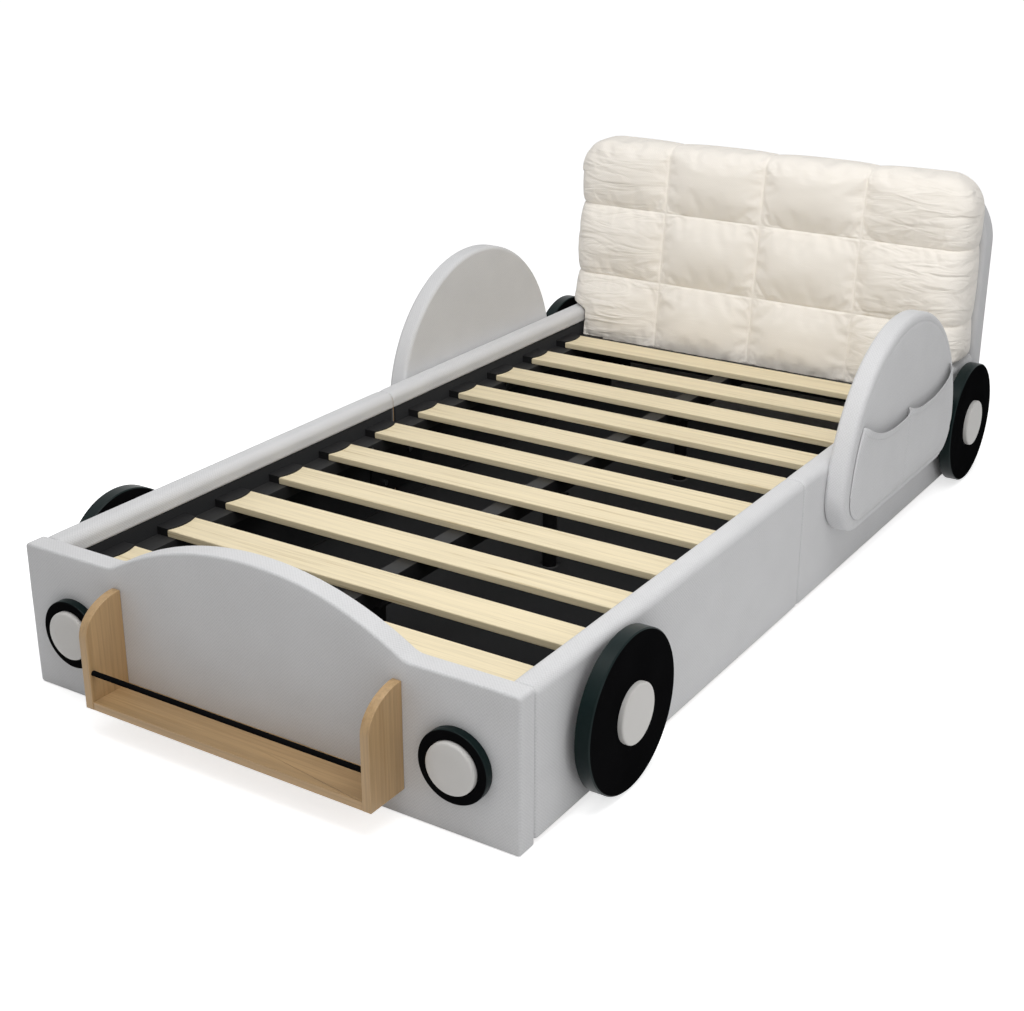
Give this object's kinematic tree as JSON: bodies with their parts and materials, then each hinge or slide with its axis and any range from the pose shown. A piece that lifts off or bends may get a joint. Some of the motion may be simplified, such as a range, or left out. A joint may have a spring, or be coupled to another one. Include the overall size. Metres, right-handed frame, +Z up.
{
  "type": "upholstered storage bed",
  "caption": "Upholstered child's storage bed shaped like a car, with a padded headboard cushion, slatted base, side pockets and a footboard shelf.",
  "frame": {"origin": "on the floor under the middle of the bed's bounding box", "axes": "+X to the right side of the bed seen from its foot, +Y from the footboard to the headboard, +Z up"},
  "size_m": [1.224, 2.308, 0.752],
  "materials": {
    "grey_cloth": "fine woven",
    "cream_cloth": "fine woven",
    "black_cloth": "matt",
    "core_board": "raw",
    "slat_wood": "satin",
    "black_wood": "satin",
    "shelf_wood": "satin",
    "black_plastic": "satin",
    "light_plastic": "satin",
    "matte_black_plastic": "matt",
    "black_steel": "satin",
    "bolt_steel": "satin"
  },
  "bodies": {
    "root": {"backboard_core": "core_board", "backboard_cover": "grey_cloth", "base_cloth": "black_cloth", "bolts": "bolt_steel", "centre_leg_1": "black_steel", "centre_leg_2": "black_steel", "centre_leg_3": "black_steel", "corner_brackets": "black_steel", "footboard_core": "core_board", "footboard_cover": "grey_cloth", "headboard_cushion": "cream_cloth", "headlight_lens_left": "light_plastic", "headlight_lens_right": "light_plastic", "headlight_ring_left": "black_plastic", "headlight_ring_right": "black_plastic", "hub_front_left": "light_plastic", "hub_front_right": "light_plastic", "hub_rear_left": "light_plastic", "hub_rear_right": "light_plastic", "ledger_left": "black_wood", "ledger_right": "black_wood", "leg_glides": "matte_black_plastic", "pocket_left": "grey_cloth", "pocket_right": "grey_cloth", "rail_front_left_core": "core_board", "rail_front_left_cover": "grey_cloth", "rail_front_right_core": "core_board", "rail_front_right_cover": "grey_cloth", "rail_joint_plates": "black_steel", "rail_lining_left": "black_cloth", "rail_lining_right": "black_cloth", "rail_rear_left_core": "core_board", "rail_rear_left_cover": "grey_cloth", "rail_rear_right_core": "core_board", "rail_rear_right_cover": "grey_cloth", "shelf_board": "shelf_wood", "shelf_rod": "black_steel", "shelf_side_left": "shelf_wood", "shelf_side_right": "shelf_wood", "side_panel_left_core": "core_board", "side_panel_left_cover": "grey_cloth", "side_panel_right_core": "core_board", "side_panel_right_cover": "grey_cloth", "slat_01": "slat_wood", "slat_02": "slat_wood", "slat_03": "slat_wood", "slat_04": "slat_wood", "slat_05": "slat_wood", "slat_06": "slat_wood", "slat_07": "slat_wood", "slat_08": "slat_wood", "slat_09": "slat_wood", "slat_10": "slat_wood", "slat_11": "slat_wood", "slat_holders": "matte_black_plastic", "support_frame": "black_steel", "wheel_front_left": "black_plastic", "wheel_front_right": "black_plastic", "wheel_rear_left": "black_plastic", "wheel_rear_right": "black_plastic"}
  },
  "joints": []
}
